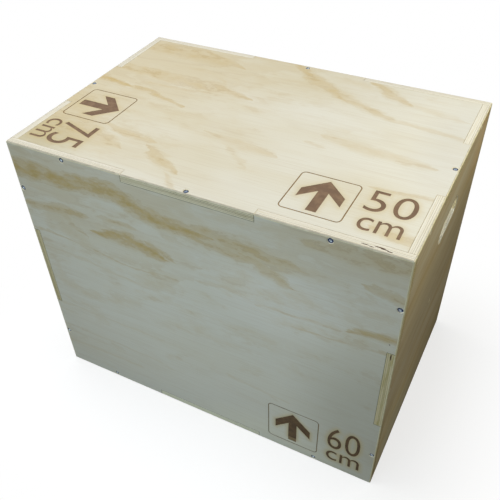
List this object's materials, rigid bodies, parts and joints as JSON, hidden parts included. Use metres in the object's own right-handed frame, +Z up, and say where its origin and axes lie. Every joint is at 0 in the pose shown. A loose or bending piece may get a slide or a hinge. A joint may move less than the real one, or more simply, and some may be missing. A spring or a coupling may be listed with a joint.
{
  "type": "plyo box",
  "caption": "Three-height plywood jump box with finger-jointed corners, countersunk screws, an inner brace board and an oval hand hole in each side.",
  "frame": {"origin": "middle of the footprint, on the floor, with the box standing at its 60 cm height", "axes": "+X along the 75 cm length, +Y along the 50 cm depth towards the back, +Z up along the 60 cm height"},
  "size_m": [0.75, 0.5, 0.6],
  "materials": {
    "pine_plywood": "sanded, unvarnished",
    "raw_plywood": "rough, unsanded",
    "zinc_screw": "blue zinc plated"
  },
  "bodies": {
    "root": {"front_panel": "pine_plywood", "back_panel": "pine_plywood", "left_panel": "pine_plywood", "right_panel": "pine_plywood", "top_panel": "pine_plywood", "bottom_panel": "pine_plywood", "inner_brace": "raw_plywood", "front_top_screws": "zinc_screw", "front_bottom_screws": "zinc_screw", "front_left_screws": "zinc_screw", "front_right_screws": "zinc_screw", "back_top_screws": "zinc_screw", "back_bottom_screws": "zinc_screw", "back_left_screws": "zinc_screw", "back_right_screws": "zinc_screw", "left_top_screws": "zinc_screw", "left_bottom_screws": "zinc_screw", "right_top_screws": "zinc_screw", "right_bottom_screws": "zinc_screw", "left_brace_screw": "zinc_screw", "right_brace_screw": "zinc_screw"}
  },
  "joints": []
}
